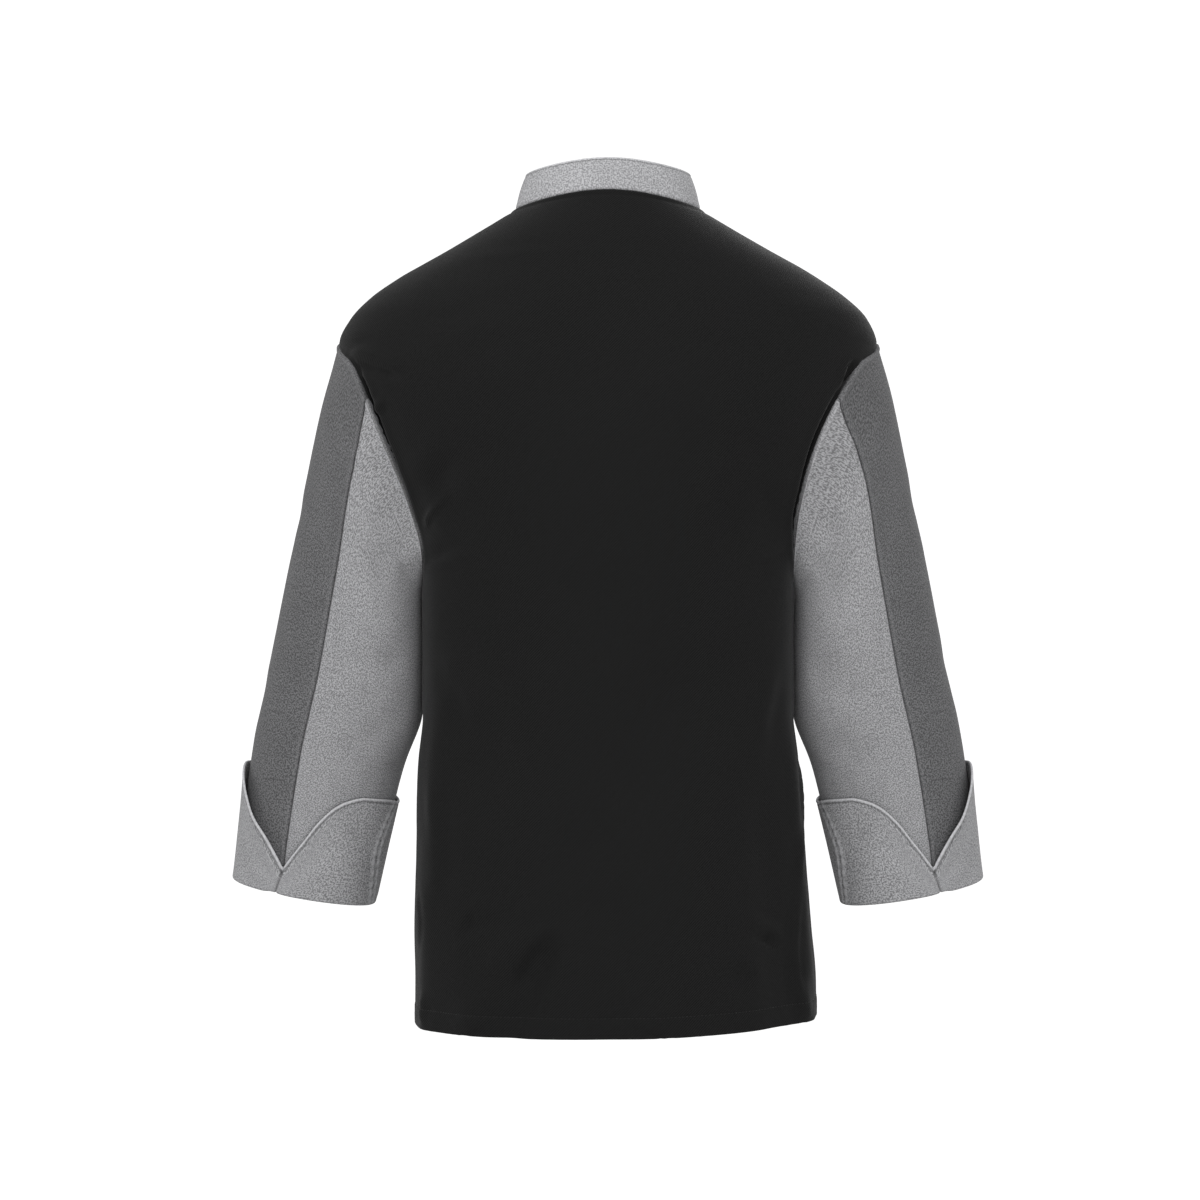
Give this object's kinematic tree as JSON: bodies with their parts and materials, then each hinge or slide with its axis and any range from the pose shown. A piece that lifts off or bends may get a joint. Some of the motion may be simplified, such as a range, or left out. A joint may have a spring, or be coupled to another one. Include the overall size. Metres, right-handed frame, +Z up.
{
  "type": "chef jacket",
  "caption": "Chef jacket with a stand collar, two-tone sleeves and turned-back notched cuffs, hollow as if worn.",
  "frame": {"origin": "middle of the neck base, level with the side points of the neck seam, where the wearer carries the jacket", "axes": "+Z up, -Y the way the wearer faces, +Y the back, +X the wearer's left"},
  "size_m": [0.6852, 0.2642, 0.7672],
  "materials": {
    "black_twill": "matte fine twill",
    "dark_grey_weave": "matte melange plain weave",
    "light_grey_weave": "matte melange plain weave",
    "cuff_grey_weave": "matte melange plain weave",
    "collar_grey_weave": "matte melange plain weave",
    "button": "satin"
  },
  "bodies": {
    "root": {"back": "black_twill", "front_left": "black_twill", "front_right": "black_twill", "collar": "collar_grey_weave", "sleeve_top_left": "dark_grey_weave", "sleeve_top_right": "dark_grey_weave", "sleeve_under_left": "light_grey_weave", "sleeve_under_right": "light_grey_weave", "cuff_outer_left": "cuff_grey_weave", "cuff_outer_right": "cuff_grey_weave", "cuff_inner_left": "cuff_grey_weave", "cuff_inner_right": "cuff_grey_weave", "button_1": "button", "button_2": "button", "button_3": "button", "button_4": "button", "button_5": "button", "button_6": "button"}
  },
  "joints": []
}
